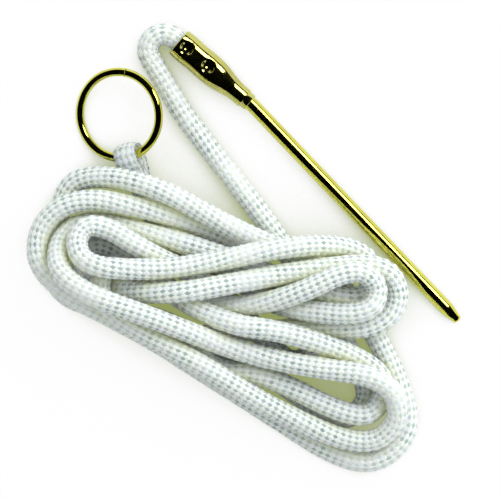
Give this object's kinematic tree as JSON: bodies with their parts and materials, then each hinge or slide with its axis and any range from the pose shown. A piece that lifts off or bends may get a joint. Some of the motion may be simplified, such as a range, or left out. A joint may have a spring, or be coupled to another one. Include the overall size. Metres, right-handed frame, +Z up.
{
  "type": "fish stringer",
  "caption": "Fish stringer: white braided cord laid in a loose hank, with a wire ring in an eye at one end and a blunt rod needle crimped on at the other",
  "frame": {"origin": "On the floor, under the middle of the box of ring, ferrule and needle.", "axes": "The stringer lies flat, seen from above: +X right, towards the needle's tip, +Y away, +Z up from the floor."},
  "size_m": [0.1215, 0.1263, 0.0254],
  "materials": {
    "cord": "glossy white polypropylene braid",
    "bright_brass": "polished brass plating on steel",
    "dark_brass": "polished brass plating, darker"
  },
  "bodies": {
    "cord": {"cord_hank": "cord", "ring_eye": "cord", "needle_lead": "cord"},
    "ring": {"ring": "bright_brass"},
    "needle": {"ferrule": "dark_brass", "needle": "bright_brass", "cord_end": "cord"}
  },
  "joints": [
    {"name": "ring_swing", "type": "hinge", "parent": "cord", "child": "ring", "pos_m": [-0.03917, 0.00546, 0.00612], "axis": [0.8864, 0.221, 0.4067], "range_deg": [0, 60]},
    {"name": "needle_swing", "type": "hinge", "parent": "cord", "child": "needle", "pos_m": [-0.0325, 0.0389, 0.0038], "axis": [0, 0, 1], "range_deg": [0, 70], "deforming": ["needle_lead"]}
  ]
}
